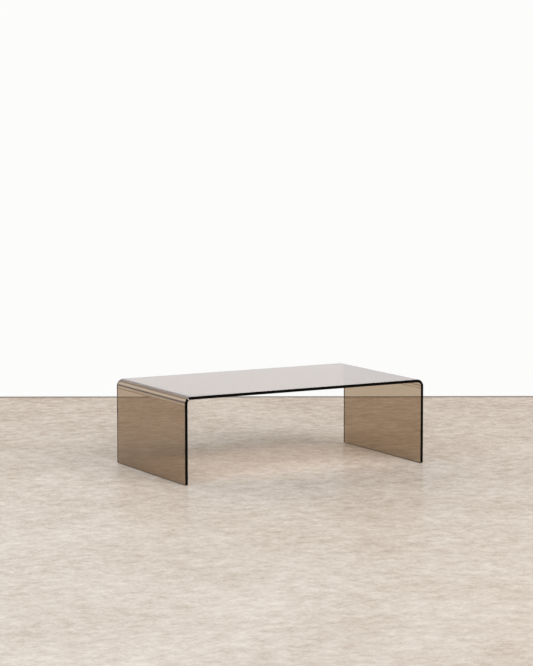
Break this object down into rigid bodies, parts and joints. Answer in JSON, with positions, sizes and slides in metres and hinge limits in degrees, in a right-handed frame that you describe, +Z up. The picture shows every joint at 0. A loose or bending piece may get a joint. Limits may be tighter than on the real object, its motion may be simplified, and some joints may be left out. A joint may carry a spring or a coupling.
{
  "type": "waterfall coffee table",
  "caption": "Low coffee table made of a bronze glass sheet bent down at both ends into slab legs, with polished edges and clear floor glides.",
  "frame": {"origin": "on the floor under the middle of the table", "axes": "+X along the table's length, +Y along its width towards the rear, +Z up"},
  "size_m": [1.1, 0.62, 0.35],
  "materials": {
    "bronze_glass": "fire-polished faces, ground and polished edge",
    "clear_glide": "clear soft polyurethane",
    "clear_adhesive": "clear acrylic film"
  },
  "bodies": {
    "root": {"glass_sheet": "bronze_glass", "glide_left_front": "clear_glide", "glide_left_rear": "clear_glide", "glide_right_front": "clear_glide", "glide_right_rear": "clear_glide", "adhesive_left_front": "clear_adhesive", "adhesive_left_rear": "clear_adhesive", "adhesive_right_front": "clear_adhesive", "adhesive_right_rear": "clear_adhesive"}
  },
  "joints": []
}
